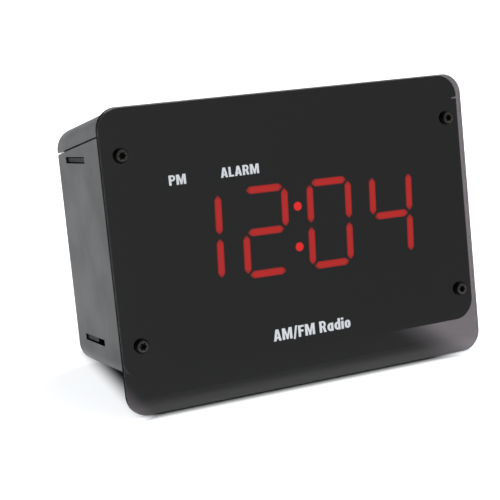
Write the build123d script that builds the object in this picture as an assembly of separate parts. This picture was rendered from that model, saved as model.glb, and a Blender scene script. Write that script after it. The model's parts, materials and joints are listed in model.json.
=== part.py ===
"""Table-top clock radio: a moulded two-part case behind a wide smoked acrylic front sheet.

Everything is modelled in the case frame: X to the right, Y from the front sheet's face towards the
back, Z up along the front sheet from its bottom edge. place() then leans the whole radio back, because it
stands on the sheet's bottom edge and on two low feet under the back of the case.
"""
from build123d import *
import math
import os

# ---- driving dimensions, in millimetres ----------------------------------------------------------
LEAN = 13.3            # degrees that the standing radio leans back
PANEL_W = 208.0        # smoked acrylic front sheet
PANEL_H = 152.0
PANEL_T = 2.4
PANEL_R = 11.0
PANEL_EDGE = 0.25      # polished chamfer round both faces
SCREW_X = 93.5         # the four M4 screws through the sheet
SCREW_Z = (35.0, 128.5)
SCREW_R = 2.0
SCREW_HEAD_R = 3.8
SCREW_HEAD_T = 2.4
SCREW_LAND_R = 2.6     # flat top of the head, round the six-lobed recess
SCREW_RECESS = 1.5
SCREW_LENGTH = 12.0

CASE_X = 102.5         # half width of the case
CASE_Z = 17.8          # underside of the case
CASE_Y = 72.0          # back edge of the case
WALL = 2.5
BACK_EDGE = 0.4        # broken edge round the back of the case
BEND = 11.0            # outside radius of the four long corners
SLOPE = 7.1            # degrees that the top cover and the seam fall towards the back
COVER_Z = 151.3        # top of the cover where it meets the sheet
SEAM = 12.4            # depth of the cover's sides, square to its top
SEAM_GAP = 0.8
SIDE_SLOT_Y = (29.0, 58.5)
SIDE_SLOT_Z = (34.1, 127.1)
SIDE_SLOT_H = 3.3

DIGIT_PITCH = 37.4     # 45.7 mm (1.8 inch) seven-segment digits
DIGIT_HALF_W = 11.3    # centre of a digit to the centre line of its upright segments
DIGIT_HALF_H = 21.5    # centre of a digit to the centre line of its top segment
SEGMENT_W = 4.0
UPRIGHT = (1.2, 20.6)  # each upright segment's two ends, from the digit's middle
LEVEL = 20.4           # length of a level segment
SLANT = math.tan(math.radians(2.1))
TURN = -0.9            # degrees that the row of digits is turned in the plane of the sheet
DISPLAY_Z = 81.5       # height of the digits' centre
DISPLAY_Y = 2.75       # face of the display, just behind the sheet
DISPLAY_SIZE = (150.0, 60.0, 12.0)
SEGMENT_DEPTH = 0.8
COLON_R = 2.4
COLON_Z = 10.5         # height of each colon dot from the digits' centre
TIME = ("bc", "abged", "abcdef", "fgbc")    # the lit segments of 12:04
INDICATOR_X = (-64.8, -30.8)                # the PM and alarm lamps
INDICATOR_Z = 119.0

BOARD_T = 1.6
REAR_Y = 67.5          # inner face of the rear panel
REAR_T = 2.5
REAR_TOP = 139.8       # top edge of the rear panel
CASE_GAP = 0.4         # between the case's walls and a panel set in them
MAIN_Y = 40.0          # front face of the radio board
MAIN_POSTS = ((2.0, 32.0), (2.0, 114.0), (72.0, 30.0), (56.0, 114.0))
COVER_BOSS_X, COVER_BOSS_Z = 60.0, 134.0
BASE_BOSS_X, BASE_BOSS_Z = 92.5, (29.0, 112.0)
BOSS_Y = 60.0          # front end of the bosses that take the rear screws
REAR_SCREWS = [(side * BASE_BOSS_X, z) for side in (-1, 1) for z in BASE_BOSS_Z]
REAR_SCREWS += [(side * COVER_BOSS_X, COVER_BOSS_Z) for side in (-1, 1)]
SPEAKER_X, SPEAKER_Z = -45.0, 90.0
SPEAKER_R = 29.0       # radius of the speaker's opening
SPEAKER_HOLES = [(SPEAKER_X + sx * 28.5, SPEAKER_Z + sz * 28.5) for sx in (-1, 1) for sz in (-1, 1)]
GRILLE_R = 26.0
GRILLE_PITCH = 6.0
GRILLE_SLOT = 3.0
DIAL_X = 84.0
DIAL_R = 19.5
DIAL_Y = (45.0, 49.5)
DIAL_SLOT_Z = 11.9     # half height of the opening that a dial stands out of
DIAL_GROOVES = 60
VOLUME_Z, TUNING_Z = 60.0, 100.0
JACK_X, JACK_Z = 50.0, 34.0
SWITCH_X = 28.0
SWITCH_Z = {"band": 66.0, "mode": 92.0}

BUTTON_RISE = 1.5      # caps stand this far out of the cover
BUTTON_SIZE = (16.0, 9.0)
BUTTON_V = 47.0        # distance down the cover's slope from its front edge
BUTTON_X = {"time": -48.0, "alarm": -24.0, "hour": 24.0, "minute": 48.0}
SNOOZE_SIZE = (84.0, 14.0)
SNOOZE_V = 24.0
SNOOZE_PLUNGER_X = (-28.0, 28.0)
PLAY = 0.4             # gap round a cap in its opening
KEY_BOARD = -12.0      # top face of the button board below the cover's top

DOOR_X = (-75.0, -21.0)
DOOR_Z = (24.6, 51.8)
DOOR_T = 1.7
HINGE_Y = REAR_Y + REAR_T / 2
HINGE_Z = DOOR_Z[0] + DOOR_T / 2

FOOT_X = 72.0
FOOT_Y = (57.0, 69.0)

parts = {}


# ---- small helpers --------------------------------------------------------------------------------
def block(x, y, z, corner=0.0):
    """A box between three pairs of limits, with its edges along Y rounded if asked."""
    shape = Pos(sum(x) / 2, sum(y) / 2, sum(z) / 2) * Box(x[1] - x[0], y[1] - y[0], z[1] - z[0])
    return fillet(shape.edges().filter_by(Axis.Y), corner) if corner else shape


def rod_y(x, z, radius, y):
    return Pos(x, sum(y) / 2, z) * Rot(X=90) * Cylinder(radius, y[1] - y[0])


def rod_x(y, z, radius, x):
    return Pos(sum(x) / 2, y, z) * Rot(Y=90) * Cylinder(radius, x[1] - x[0])


def rod_z(x, y, radius, z):
    return Pos(x, y, sum(z) / 2) * Cylinder(radius, z[1] - z[0])


def sheet_y(sketch, y):
    """Thicken a flat outline, drawn with X across and Z up, between two depths."""
    plane = Plane(origin=(0, y[1], 0), x_dir=(1, 0, 0), z_dir=(0, -1, 0))
    return extrude(plane * sketch, amount=y[1] - y[0])


def turned(points, x=0.0, z=0.0):
    """Turn a closed outline of (radius, depth) points about an axis along Y."""
    return Pos(x, 0, z) * revolve(make_face(Polyline(*points, close=True)), axis=Axis.Y)


def group(shapes):
    return Compound(children=list(shapes))


def on_cover(shape):
    """Take a piece drawn with its origin at the middle of the cover's front top edge into the case."""
    return Pos(0, PANEL_T, COVER_Z) * Rot(X=-SLOPE) * shape


def screw(x, z, y, shank_r, head_r, head_t, inward=1):
    """A pan-head screw along Y: head on the face at y[0], shank to y[1]."""
    head = sorted((y[0], y[0] - inward * head_t))
    body = rod_y(x, z, head_r, head) + rod_y(x, z, shank_r, sorted(y))
    slot = block((x - head_r, x + head_r), sorted((head[0], head[1])), (z - 0.35, z + 0.35))
    outer = y[0] - inward * head_t
    cut = slot & block((x - 9, x + 9), sorted((outer, outer + inward * 0.7)), (z - 9, z + 9))
    return body - cut


# ---- front sheet and its screws --------------------------------------------------------------------
def make_front():
    outline = Pos(0, PANEL_H / 2) * RectangleRounded(PANEL_W, PANEL_H, PANEL_R)
    panel = sheet_y(outline, (0, PANEL_T))
    panel = chamfer(panel.edges().filter_by(GeomType.CIRCLE) + panel.edges().filter_by(
        lambda edge: edge.geom_type == GeomType.LINE and abs(edge.tangent_at(0).Y) < 0.5), PANEL_EDGE)
    places = [(side * SCREW_X, z) for side in (-1, 1) for z in SCREW_Z]
    parts["front_panel"] = panel - [rod_y(x, z, SCREW_R + 0.2, (-1, PANEL_T + 1)) for x, z in places]
    parts["panel_screws"] = group(make_torx_screw(x, z) for x, z in places)


def make_torx_screw(x, z):
    """An M4 button-head screw with a six-lobed recess: a rim, a domed shoulder and a flat land."""
    rim, lobe_r, lobe_at = 0.5, 0.5, 1.45
    shoulder = (0.9 * SCREW_HEAD_R, -0.7 * SCREW_HEAD_T)
    profile = make_face([
        Line((0, 0), (SCREW_HEAD_R, 0)),
        Line((SCREW_HEAD_R, 0), (SCREW_HEAD_R, -rim)),
        ThreePointArc((SCREW_HEAD_R, -rim), shoulder, (SCREW_LAND_R, -SCREW_HEAD_T)),
        Line((SCREW_LAND_R, -SCREW_HEAD_T), (0, -SCREW_HEAD_T)),
        Line((0, -SCREW_HEAD_T), (0, 0)),
    ])
    lobes = Circle(lobe_at - 0.1) + [Pos(lobe_at * math.cos(a), lobe_at * math.sin(a)) * Circle(lobe_r)
                                     for a in (math.radians(60 * n) for n in range(6))]
    recess = sheet_y(lobes, (-SCREW_HEAD_T - 1, -SCREW_HEAD_T + SCREW_RECESS))
    head = revolve(profile, axis=Axis.Y) - recess
    return Pos(x, 0, z) * (head + rod_y(0, 0, SCREW_R, (0, SCREW_LENGTH)))


# ---- case ---------------------------------------------------------------------------------------------
def cover_prism(inset, low, y=(-20, 95)):
    """The inside of the cover's bent section, inset from its outer face, in the cover's own frame."""
    width = 2 * (CASE_X - inset)
    outline = Pos(0, -inset - 30) * RectangleRounded(width, 60, BEND - inset)
    return sheet_y(outline, y) & block((-120, 120), (-30, 110), (low, 5))


def make_cover():
    outer = on_cover(cover_prism(0, -SEAM + SEAM_GAP / 2))
    outer &= block((-120, 120), (PANEL_T + 0.1, CASE_Y + 0.3), (0, 200))
    outer = chamfer(outer.faces().sort_by(Axis.Y)[-1].edges(), BACK_EDGE)
    holes = [Pos(x, BUTTON_V, 0) * Box(BUTTON_SIZE[0] + 2 * PLAY, BUTTON_SIZE[1] + 2 * PLAY, 20)
             for x in BUTTON_X.values()]
    holes += [Pos(0, SNOOZE_V, 0) * Box(SNOOZE_SIZE[0] + 2 * PLAY, SNOOZE_SIZE[1] + 2 * PLAY, 20)]
    posts = [rod_z(x, v, 3.0, (KEY_BOARD, -WALL + 0.5)) for x, v in key_board_places()]
    cores = [rod_z(x, v, 1.2, (KEY_BOARD - 1, -WALL - 1)) for x, v in key_board_places()]
    shell = outer - on_cover(cover_prism(WALL, -70)) + [on_cover(post) for post in posts]
    shell -= [on_cover(cut) for cut in holes + cores]
    for side in (-1, 1):
        x = side * COVER_BOSS_X
        shell += rod_y(x, COVER_BOSS_Z, 3.5, (BOSS_Y, REAR_Y - 0.2))
        shell += block((x - 1.5, x + 1.5), (BOSS_Y, REAR_Y - 0.2), (COVER_BOSS_Z, COVER_BOSS_Z + 8))
        shell -= rod_y(x, COVER_BOSS_Z, 1.4, (59, REAR_Y))
    parts["top_cover"] = shell


def key_board_places():
    return [(x, v) for x in (-66.0, 66.0) for v in (18.0, 52.0)]


def make_base():
    def trough(inset):
        outline = Pos(0, CASE_Z + inset + 80) * RectangleRounded(2 * (CASE_X - inset), 160, BEND - inset)
        return sheet_y(outline, (PANEL_T + 0.1, CASE_Y) if not inset else (-5, 90))

    below_seam = on_cover(block((-120, 120), (-40, 120), (-200, -SEAM - SEAM_GAP / 2)))
    outer = trough(0)
    outer = chamfer(outer.faces().sort_by(Axis.Y)[-1].edges(), BACK_EDGE)
    shell = (outer - trough(WALL)) & below_seam
    for side in (-1, 1):
        # a thin lip stands up behind the cover's side and closes the seam
        lip = block((98.5, 99.6), (0, 90), (-15, -9.7)) + block((98.5, 100.5), (0, 90), (-15, -13.4))
        lip = on_cover(lip) & block((90, 110), (5.2, REAR_Y - 0.7), (100, 160))
        shell += lip if side > 0 else mirror(lip, about=Plane.YZ)
        for z in BASE_BOSS_Z:
            x = side * BASE_BOSS_X
            web = sorted((x, side * (CASE_X - WALL + 0.5)))
            shell += rod_y(x, z, 3.5, (BOSS_Y, REAR_Y - 0.2))
            shell += block(web, (BOSS_Y, REAR_Y - 0.2), (z - 1.5, z + 1.5))
            shell -= rod_y(x, z, 1.4, (59, REAR_Y))
        for z in SIDE_SLOT_Z:
            wall = sorted((side * 101.25 - 2, side * 101.25 + 2))
            shell -= block(wall, SIDE_SLOT_Y, (z - SIDE_SLOT_H / 2, z + SIDE_SLOT_H / 2))
    for z in (VOLUME_Z, TUNING_Z):
        shell -= block((98, 104), (DIAL_Y[0] - 0.6, DIAL_Y[1] + 0.6), (z - DIAL_SLOT_Z, z + DIAL_SLOT_Z))
    # the upper back corner of each side wall is cut off just below the seam
    corner = Polygon((69.8, 132), (73, 132), (73, 126.4), align=None)
    shell -= extrude(Plane.YZ * corner, amount=120, both=True)
    parts["base_shell"] = shell


def inner_outline(height):
    """The outline of a panel that is set inside the case's walls."""
    inset = WALL + 0.5
    return RectangleRounded(2 * (CASE_X - inset), height, BEND - WALL - 0.3)


def make_frame():
    """The chassis behind the sheet: it carries the screws and the display and hooks into the side slots."""
    low, high = CASE_Z + WALL + CASE_GAP, 148.1
    outline = Pos(0, (low + high) / 2) * inner_outline(high - low)
    plate_y = (PANEL_T + 0.2, PANEL_T + 2.2)
    frame = sheet_y(outline, plate_y)
    frame -= block((-75.4, 75.4), (0, 20), (DISPLAY_Z - 30.4, DISPLAY_Z + 30.4))
    for side in (-1, 1):
        for z in SCREW_Z:
            frame += rod_y(side * SCREW_X, z, 4.5, (plate_y[0], 14))
        for z, lug in zip(SIDE_SLOT_Z, ((41.0, 57.9), (29.6, 57.9))):
            frame += block(sorted((side * 96.4, side * 98.2)), (plate_y[1] - 1, 59), (z - 5, z + 4))
            frame += block(sorted((side * 98, side * 101.6)), lug, (z - 1.1, z + 1.1))
    posts = display_places()
    frame += [rod_y(x, z, 3.2, (plate_y[0] + 0.5, 14.7)) for x, z in posts]
    frame -= [rod_y(x, z, 1.2, (plate_y[1] + 1, 15)) for x, z in posts]
    frame -= [rod_y(side * SCREW_X, z, SCREW_R + 0.05, (0, 13)) for side in (-1, 1) for z in SCREW_Z]
    frame -= [rod_y(x, INDICATOR_Z, 1.6, (0, 10)) for x in INDICATOR_X]
    parts["front_frame"] = frame


def display_places():
    return [(x, DISPLAY_Z + dz) for x in (-80.0, 80.0) for dz in (-26.0, 26.0)]


# ---- display ---------------------------------------------------------------------------------------------
def segment(length):
    """One bar, along X: straight sides, drawn in to a blunt nose at each end."""
    half, edge = length / 2, SEGMENT_W / 2
    nose, taper = 0.5, 2.0
    points = [(-half, -nose), (-half + taper, -edge), (half - taper, -edge), (half, -nose),
              (half, nose), (half - taper, edge), (-half + taper, edge), (-half, nose)]
    return fillet(Polygon(*points, align=None).vertices(), 0.45)


def digit_segments(lit):
    """The outlines of the lit, or of the unlit, segments of one digit around its own centre."""
    bars = {"a": 1, "g": 0, "d": -1}
    uprights = {"f": (-1, 1), "b": (1, 1), "e": (-1, -1), "c": (1, -1)}
    tilt = Rot(Z=90 - math.degrees(math.atan(SLANT)))
    shapes = []
    for name, level in bars.items():
        if name in lit:
            z = level * DIGIT_HALF_H
            shapes.append(Pos(z * SLANT, z) * segment(LEVEL))
    for name, (side, level) in uprights.items():
        if name in lit:
            z = level * sum(UPRIGHT) / 2
            place = Pos(side * DIGIT_HALF_W + z * SLANT, z)
            shapes.append(place * tilt * segment(UPRIGHT[1] - UPRIGHT[0]))
    return shapes


def make_display():
    width, height, depth = DISPLAY_SIZE
    back = DISPLAY_Y + depth
    face = (DISPLAY_Y, DISPLAY_Y + SEGMENT_DEPTH)
    row = Pos(0, DISPLAY_Z) * Rot(Z=TURN)
    lit, unlit = [], []
    for n, digit in enumerate(TIME):
        place = row * Pos((n - 1.5) * DIGIT_PITCH, 0)
        lit += [sheet_y(place * bar, face) for bar in digit_segments(digit)]
        rest = [name for name in "abcdefg" if name not in digit]
        unlit += [sheet_y(place * bar, face) for bar in digit_segments(rest)]
    dots = [sheet_y(row * Pos(level * COLON_Z * SLANT, level * COLON_Z) * Circle(COLON_R), face)
            for level in (-1, 1)]
    housing = block((-width / 2, width / 2), (DISPLAY_Y, back),
                    (DISPLAY_Z - height / 2, DISPLAY_Z + height / 2), corner=1.0)
    parts["display_housing"] = housing - lit - unlit - dots
    parts["lit_segments"] = group(lit)
    parts["unlit_segments"] = group(unlit)
    parts["colon_dots"] = group(dots)
    board = (back + 0.05, back + 0.05 + BOARD_T)
    plate = block((-86, 86), board, (DISPLAY_Z - 31, DISPLAY_Z + 31), corner=2)
    parts["display_board"] = plate - [rod_y(x, z, 1.4, (10, 20)) for x, z in display_places()]
    parts["display_screws"] = group(
        screw(x, z, (board[1] + 0.02, 6.5), 1.15, 2.6, 1.7, inward=-1) for x, z in display_places())
    chip_y = (board[1] + 0.05, board[1] + 4.0)
    parts["clock_chip"] = block((-48, -11), chip_y, (76, 90), corner=0.6)
    leds = []
    for x in INDICATOR_X:
        dome = rod_y(x, INDICATOR_Z, 1.5, (PANEL_T + 0.5, 7.5))
        leds.append(dome + rod_y(x, INDICATOR_Z, 1.95, (7.5, 8.5)))
    parts["indicator_leds"] = group(leds)


# ---- push buttons on the cover ------------------------------------------------------------------------------
def cap(size, stems):
    """A cap with a flange under the cover and a stem over each plunger."""
    top = block((-size[0] / 2, size[0] / 2), (-size[1] / 2, size[1] / 2), (-WALL - 0.3, BUTTON_RISE))
    top = fillet(top.edges().filter_by(Axis.Z), 1.5)
    top = fillet(top.faces().sort_by(Axis.Z)[-1].edges(), 0.8)
    flange = block((-size[0] / 2 - 1.2, size[0] / 2 + 1.2), (-size[1] / 2 - 1.2, size[1] / 2 + 1.2),
                   (-WALL - 1.6, -WALL - 0.2))
    return top + flange + [rod_z(x, 0, 1.6, (-7.3, -WALL - 1)) for x in stems]


def plunger(x):
    return rod_z(x, 0, 1.7, (-10.4, -7.3))


def make_buttons():
    switches = []
    for name, x in BUTTON_X.items():
        move = Pos(x, BUTTON_V, 0)
        parts[name + "_button"] = on_cover(move * cap(BUTTON_SIZE, (0,)))
        parts[name + "_plunger"] = on_cover(move * plunger(0))
        switches.append((x, BUTTON_V))
    move = Pos(0, SNOOZE_V, 0)
    parts["snooze_bar"] = on_cover(move * cap(SNOOZE_SIZE, SNOOZE_PLUNGER_X))
    parts["snooze_plungers"] = group(on_cover(move * plunger(x)) for x in SNOOZE_PLUNGER_X)
    switches += [(x, SNOOZE_V) for x in SNOOZE_PLUNGER_X]
    bodies = []
    for x, v in switches:
        body = block((x - 3, x + 3), (v - 3, v + 3), (KEY_BOARD + 0.02, KEY_BOARD + 3.5))
        bodies.append(on_cover(body - rod_z(x, v, 1.85, (KEY_BOARD + 0.5, 0))))
    parts["tact_switches"] = group(bodies)
    board = block((-72, 72), (13, 57), (KEY_BOARD - BOARD_T, KEY_BOARD - 0.02))
    board -= [rod_z(x, v, 1.4, (-20, 0)) for x, v in key_board_places()]
    parts["button_board"] = on_cover(board)
    under = KEY_BOARD - BOARD_T - 0.02
    parts["button_board_screws"] = group(
        on_cover(rod_z(x, v, 2.6, (under - 1.7, under)) + rod_z(x, v, 1.15, (under, -5)))
        for x, v in key_board_places())


# ---- rear panel and what it carries ----------------------------------------------------------------------------
def make_rear():
    low = CASE_Z + WALL + CASE_GAP
    inner, outer = REAR_Y, REAR_Y + REAR_T
    outline = Pos(0, (low + REAR_TOP) / 2) * inner_outline(REAR_TOP - low)
    panel = sheet_y(outline, (inner, outer))
    panel += [rod_y(x, z, 3.2, (MAIN_Y + BOARD_T + 0.05, inner + 0.5)) for x, z in MAIN_POSTS]
    panel += [rod_y(x, z, 2.9, (64.3, inner + 0.5)) for x, z in SPEAKER_HOLES]
    panel -= [rod_y(x, z, 1.2, (MAIN_Y, MAIN_Y + 14)) for x, z in MAIN_POSTS]
    panel -= [rod_y(x, z, 1.2, (63, inner + 1)) for x, z in SPEAKER_HOLES]
    panel -= [rod_y(x, z, 1.7, (60, 80)) for x, z in REAR_SCREWS]
    for n in range(-4, 5):
        across = GRILLE_PITCH * n
        tall = 2 * math.sqrt(GRILLE_R ** 2 - across ** 2)
        slot = Pos(SPEAKER_X + across, SPEAKER_Z) * Rot(Z=90) * SlotOverall(tall, GRILLE_SLOT)
        panel -= sheet_y(slot, (inner - 1, outer + 1))
    for z in SWITCH_Z.values():
        panel -= block((SWITCH_X - 6.4, SWITCH_X + 6.4), (60, 80), (z - 2.4, z + 2.4))
        panel -= [rod_y(SWITCH_X + dx, z, 1.2, (60, 80)) for dx in (-13, 13)]
    panel -= rod_y(JACK_X, JACK_Z, 4.15, (60, 80))
    gap = 0.35
    panel -= block((DOOR_X[0] - gap, DOOR_X[1] + gap), (60, 80), (DOOR_Z[0] - gap, DOOR_Z[1] + gap))
    panel -= rod_x(HINGE_Y, HINGE_Z, 0.85, (DOOR_X[0] - 1.6, DOOR_X[1] + 1.6))
    parts["rear_panel"] = panel
    parts["rear_panel_screws"] = group(
        screw(x, z, (outer + 0.02, 60.5), 1.35, 2.8, 1.7, inward=-1) for x, z in REAR_SCREWS)


def make_battery():
    x, z = (DOOR_X[0] - 1.5, DOOR_X[1] + 1.5), (DOOR_Z[0] - 1.5, DOOR_Z[1] + 1.5)
    back = 46.5
    tray = block(x, (back, REAR_Y - 0.05), z)
    tray -= block((x[0] + 1.5, x[1] - 1.5), (back + 1.5, 80), (z[0] + 1.5, z[1] - 1.5))
    parts["battery_box"] = tray
    middle = sum(DOOR_Z) / 2
    end = -70.0
    cell = block((end, -21.6), (48.3, 65.8), (middle - 13.2, middle + 13.2))
    cell = fillet(cell.edges().filter_by(Axis.X), 2.0)
    terminals = [(57.0, middle - 6.35, 2.9), (57.0, middle + 6.35, 3.9)]
    parts["battery"] = cell + [rod_x(y, zz, r, (end - 2.6, end + 0.5)) for y, zz, r in terminals]
    snap = block((end - 2.2, end - 0.1), (50.5, 63.5), (middle - 12.5, middle + 12.5))
    parts["battery_snap"] = snap - [rod_x(y, zz, r + 0.05, (end - 5, end + 5)) for y, zz, r in terminals]

    door_y = (HINGE_Y - DOOR_T / 2, HINGE_Y + DOOR_T / 2)
    door = block(DOOR_X, door_y, (HINGE_Z, DOOR_Z[1]))
    door += rod_x(HINGE_Y, HINGE_Z, DOOR_T / 2, DOOR_X)
    door += rod_x(HINGE_Y, HINGE_Z, 0.75, (DOOR_X[0] - 1.4, DOOR_X[1] + 1.4))
    middle_x = sum(DOOR_X) / 2
    door += block((middle_x - 6, middle_x + 6), (door_y[0], REAR_Y + REAR_T + 1.2), (DOOR_Z[1] - 1.4, DOOR_Z[1]))
    parts["battery_door"] = door


def make_speaker():
    at = (SPEAKER_X, SPEAKER_Z)
    flange_y = (62.7, 64.2)
    flange = block((at[0] - 33, at[0] + 33), flange_y, (at[1] - 33, at[1] + 33), corner=4)
    basket = turned([(28.9, 63.5), (30.2, 63.5), (30.2, 62.7), (17, 52.6), (6, 52.6), (6, 53.8),
                     (16.4, 53.8), (28.9, 63.1)], *at)
    frame = flange - rod_y(*at, SPEAKER_R, (60, 70)) + basket
    for n in range(4):
        window = Rot(Y=45 + 90 * n) * block((17.5, 27.5), (50, 62), (-6, 6))
        frame -= Pos(at[0], 0, at[1]) * window
    frame -= [rod_y(x, z, 1.4, (60, 70)) for x, z in SPEAKER_HOLES]
    parts["speaker_frame"] = frame
    parts["speaker_magnet"] = rod_y(*at, 16, (43, 52.5)) + rod_y(*at, 12.5, (41.5, 43.1)) \
        + rod_y(*at, 4.5, (52, 58))
    parts["speaker_cone"] = turned([
        (5.0, 54.2), (5.6, 54.2), (5.6, 57.2), (7.4, 57.6), (26.6, 63.6), (28.7, 63.6), (28.7, 64.1),
        (26.4, 64.1), (8.6, 58.6), (5.4, 60.2), (2.4, 60.9), (0, 61.1), (0, 60.5), (2.3, 60.3), (5.0, 59.6),
    ], *at)
    parts["speaker_gasket"] = rod_y(*at, 32.6, (64.25, REAR_Y - 0.05)) - rod_y(*at, 29.4, (60, 70))
    parts["speaker_screws"] = group(
        screw(x, z, (flange_y[0] - 0.02, 67.2), 1.15, 2.5, 1.7) for x, z in SPEAKER_HOLES)


def make_rear_controls():
    bodies = []
    screws = []
    for name, z in SWITCH_Z.items():
        body = block((SWITCH_X - 11.5, SWITCH_X + 11.5), (60.3, REAR_Y - 0.9), (z - 4, z + 4))
        body += block((SWITCH_X - 16, SWITCH_X + 16), (REAR_Y - 0.9, REAR_Y - 0.05), (z - 4.4, z + 4.4))
        body -= block((SWITCH_X - 6.4, SWITCH_X + 6.4), (63, 80), (z - 2.4, z + 2.4))
        body -= [rod_y(SWITCH_X + dx, z, 1.2, (60, 80)) for dx in (-13, 13)]
        bodies.append(body)
        start = -2.0 if name == "band" else 0.0
        x = SWITCH_X + start
        knob = block((x - 2.4, x + 2.4), (64, 71.4), (z - 2.0, z + 2.0))
        knob = chamfer(knob.faces().sort_by(Axis.Y)[-1].edges(), 0.4)
        grooves = [block((x + dx - 0.25, x + dx + 0.25), (70.9, 72), (z - 3, z + 3)) for dx in (-1.2, 0, 1.2)]
        parts[name + "_switch_knob"] = knob - grooves
        screws += [screw(SWITCH_X + dx, z, (REAR_Y + REAR_T + 0.02, 62), 1.1, 2.2, 1.4, inward=-1)
                   for dx in (-13, 13)]
    parts["slide_switches"] = group(bodies)
    parts["switch_screws"] = group(screws)

    jack = rod_y(JACK_X, JACK_Z, 6.0, (54, REAR_Y - 0.05)) + rod_y(JACK_X, JACK_Z, 4.0, (60, 71.6))
    jack = jack - rod_y(JACK_X, JACK_Z, 2.8, (61, 80)) + rod_y(JACK_X, JACK_Z, 1.05, (60, 70.5))
    parts["dc_jack"] = jack
    hexagon = Pos(JACK_X, JACK_Z) * (RegularPolygon(6.0, 6) - Circle(4.02))
    parts["jack_nut"] = sheet_y(hexagon, (REAR_Y + REAR_T + 0.02, REAR_Y + REAR_T + 1.5))


# ---- radio board, dials and aerial ------------------------------------------------------------------------------
def dial(z, bore):
    """A thumb wheel with a grooved rim, a raised hub and a recessed web."""
    turns = (2 * math.pi * n / DIAL_GROOVES for n in range(DIAL_GROOVES))
    rim = Circle(DIAL_R) - [Pos(DIAL_R * math.cos(a), DIAL_R * math.sin(a)) * Circle(0.42) for a in turns]
    wheel = sheet_y(Pos(DIAL_X, z) * rim, DIAL_Y)
    ring = rod_y(DIAL_X, z, DIAL_R - 2.5, (DIAL_Y[1] - 1.6, 60)) - rod_y(DIAL_X, z, 6, (40, 60))
    return wheel - ring - rod_y(DIAL_X, z, bore, (40, 60))


def make_radio():
    board = (MAIN_Y, MAIN_Y + BOARD_T)
    plate = block((-4, 93), board, (25.5, 119), corner=1.5)
    plate -= [rod_y(x, z, 1.4, (30, 50)) for x, z in MAIN_POSTS]
    parts["main_board"] = plate - rod_y(DIAL_X, TUNING_Z, 3.4, (30, 50))
    parts["main_board_screws"] = group(
        screw(x, z, (MAIN_Y - 0.02, MAIN_Y + 12), 1.15, 2.6, 1.7) for x, z in MAIN_POSTS)

    front = MAIN_Y - 0.05
    parts["tuner_chip"] = block((24, 46), (front - 3.4, front), (66, 74), corner=0.5)
    parts["coil_cans"] = group(block((x - 5, x + 5), (front - 12, front), (90, 100), corner=0.6)
                               for x in (16, 30, 44))
    parts["board_capacitors"] = group(rod_y(x, 48, r, (front - length, front))
                                      for x, r, length in ((12, 5, 16), (27, 4, 12), (39, 4, 12), (51, 5, 16)))
    can = block((DIAL_X - 10, DIAL_X + 9.5), (front - 11, front), (TUNING_Z - 10, TUNING_Z + 10), corner=1.0)
    parts["tuning_capacitor"] = can - rod_y(DIAL_X, TUNING_Z, 3.05, (front - 9, 60))
    parts["tuning_shaft"] = rod_y(DIAL_X, TUNING_Z, 3.0, (front - 8.7, DIAL_Y[1] - 0.3))
    parts["tuning_dial"] = dial(TUNING_Z, 3.0)
    pot = rod_y(DIAL_X, VOLUME_Z, 8.5, (board[1] + 0.05, DIAL_Y[0] - 0.5))
    parts["volume_control"] = pot - rod_y(DIAL_X, VOLUME_Z, 2.05, (board[1] + 0.5, 60))
    parts["volume_shaft"] = rod_y(DIAL_X, VOLUME_Z, 2.0, (board[1] + 0.8, DIAL_Y[1] - 0.3))
    parts["volume_dial"] = dial(VOLUME_Z, 2.0)

    rod_place = (24.0, 121.5)
    parts["ferrite_rod"] = rod_x(*rod_place, 4.5, (-62, 62))
    parts["antenna_coil"] = rod_x(*rod_place, 6.5, (-30, -4)) - rod_x(*rod_place, 4.55, (-40, 5))
    holders = []
    for x in (-50, 50):
        arm = block((x - 3, x + 3), (4.65, 31), (115, 128))
        holders.append(arm - rod_x(*rod_place, 4.55, (x - 9, x + 9)))
    parts["rod_holders"] = group(holders)


# ---- feet ---------------------------------------------------------------------------------------------------------
def make_feet():
    """Two low rubber feet, cut to the table's slope."""
    def table(y):
        return (y - PANEL_T + PANEL_EDGE) * math.tan(math.radians(LEAN))

    outline = Polygon((FOOT_Y[0], CASE_Z), (FOOT_Y[0], table(FOOT_Y[0])),
                      (FOOT_Y[1], table(FOOT_Y[1])), (FOOT_Y[1], CASE_Z), align=None)
    foot = extrude(Plane.YZ * outline, amount=7, both=True)
    foot = fillet(foot.edges().filter_by(Axis.Z), 2.0)
    parts["rear_feet"] = group(Pos(side * FOOT_X, 0, 0) * foot for side in (-1, 1))


def place(shape, shift):
    """Lean the radio back on the table, with its origin under the middle of its box."""
    return Pos(*shift) * Rot(X=-LEAN) * shape


def main():
    for make in (make_front, make_cover, make_base, make_frame, make_display, make_buttons, make_rear,
                 make_battery, make_speaker, make_rear_controls, make_radio, make_feet):
        make()
    box = group(Rot(X=-LEAN) * shape for shape in parts.values()).bounding_box()
    shift = (-(box.min.X + box.max.X) / 2, -(box.min.Y + box.max.Y) / 2, -box.min.Z)
    print("case frame origin", [round(value, 4) for value in shift])
    os.makedirs("parts", exist_ok=True)
    for name, shape in parts.items():
        export_step(place(shape, shift), f"parts/{name}.step")


main()
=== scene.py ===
"""The looks of a table clock radio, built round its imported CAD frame."""
import json
import math

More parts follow.
